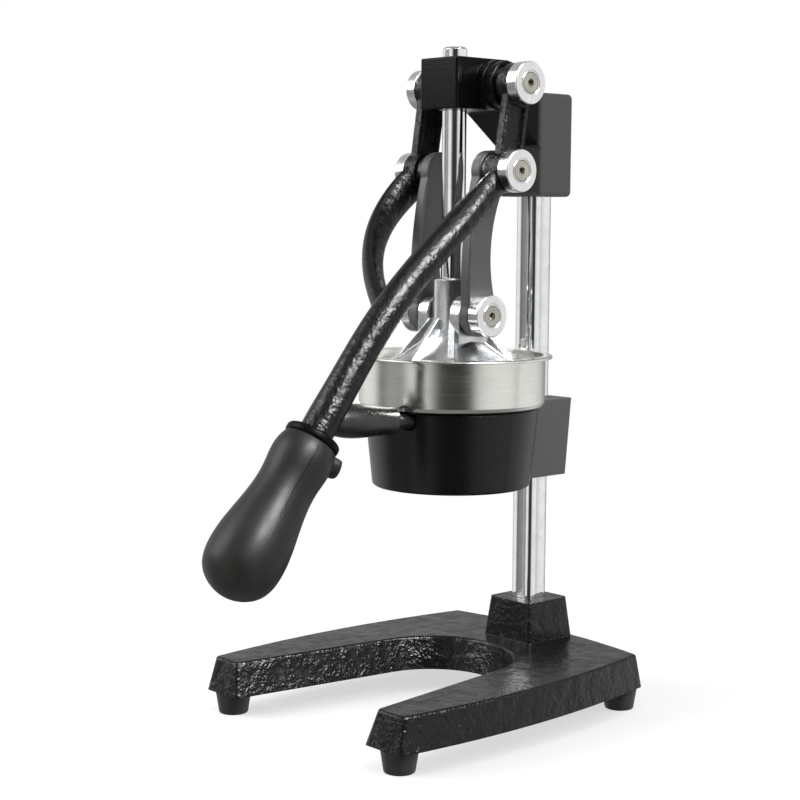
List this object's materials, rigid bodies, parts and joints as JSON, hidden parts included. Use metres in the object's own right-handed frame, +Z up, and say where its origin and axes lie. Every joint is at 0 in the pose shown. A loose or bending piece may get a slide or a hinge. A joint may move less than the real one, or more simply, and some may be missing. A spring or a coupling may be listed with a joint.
{
  "type": "lever citrus juice press",
  "caption": "Upright hand press for citrus juice: U-shaped cast base, square column, guided rod with a press bell, forked lever with links, and a steel strainer cup in a cast bowl.",
  "frame": {"origin": "on the worktop straight under the rod, where the glass stands", "axes": "+Z up, -Y to the front where the handle is, +X to the right as seen from the front"},
  "size_m": [0.1834, 0.2926, 0.39],
  "materials": {
    "black_paint": "wrinkled semi-gloss black paint on a casting",
    "satin_paint": "smooth satin dark grey paint",
    "gloss_paint": "smooth semi-gloss black paint",
    "rubber": "matt black rubber",
    "chrome": "polished chrome",
    "zinc_steel": "plain zinc-coated steel",
    "black_steel": "blackened steel",
    "screw_steel": "turned steel with a warm tone",
    "bronze": "plain bronze",
    "brushed_steel": "brushed stainless steel",
    "black_plastic": "satin black plastic",
    "grip_plastic": "matt dark grey moulded plastic",
    "cast_aluminium": "satin cast aluminium"
  },
  "bodies": {
    "stand": {"base_casting": "black_paint", "rubber_feet": "rubber", "foot_screws": "zinc_steel", "column": "chrome", "column_bolt": "zinc_steel", "column_washer": "zinc_steel", "head_casting": "satin_paint", "head_set_screws": "black_steel", "guide_bushes": "bronze", "top_shaft": "zinc_steel", "top_spacers": "black_steel", "top_caps": "chrome", "top_cap_screws": "screw_steel", "bowl_holder": "gloss_paint", "holder_clamp_screws": "black_steel", "juice_funnel": "brushed_steel", "strainer_cup": "brushed_steel", "cup_neck": "black_steel", "cup_grip": "black_plastic"},
    "lever": {"lever_casting": "black_paint", "grip_collar": "gloss_paint", "lever_grip": "grip_plastic", "crank_pins": "zinc_steel", "crank_spacers": "black_steel", "crank_caps": "chrome", "crank_cap_screws": "screw_steel"},
    "ram": {"press_bell": "cast_aluminium", "guide_rod": "chrome", "rod_screw": "screw_steel", "ear_pins": "zinc_steel", "ear_caps": "chrome", "ear_cap_screws": "screw_steel"},
    "left_link": {"left_link": "satin_paint", "left_link_bush": "bronze"},
    "right_link": {"right_link": "satin_paint", "right_link_bush": "bronze"}
  },
  "joints": [
    {"name": "lever_hinge", "type": "hinge", "parent": "stand", "child": "lever", "pos_m": [0, 0.0155, 0.3683], "axis": [-1, 0, 0], "range_deg": [0, 100]},
    {"name": "ram_slide", "type": "slide", "parent": "stand", "child": "ram", "axis": [0, 0, 1], "range_m": [0, 0.07176]},
    {"name": "left_link_hinge", "type": "hinge", "parent": "ram", "child": "left_link", "pos_m": [-0.0215, 0, 0.2358], "axis": [1, 0, 0], "range_deg": [0, 28.09]},
    {"name": "right_link_hinge", "type": "hinge", "parent": "ram", "child": "right_link", "pos_m": [0.0215, 0, 0.2358], "axis": [1, 0, 0], "range_deg": [0, 28.09]}
  ],
  "couplings": [
    {"joint": "ram_slide", "follows": "lever_hinge", "m_per_rad": 0.041115},
    {"joint": "left_link_hinge", "follows": "lever_hinge", "ratio": 0.28091},
    {"joint": "right_link_hinge", "follows": "lever_hinge", "ratio": 0.28091}
  ]
}
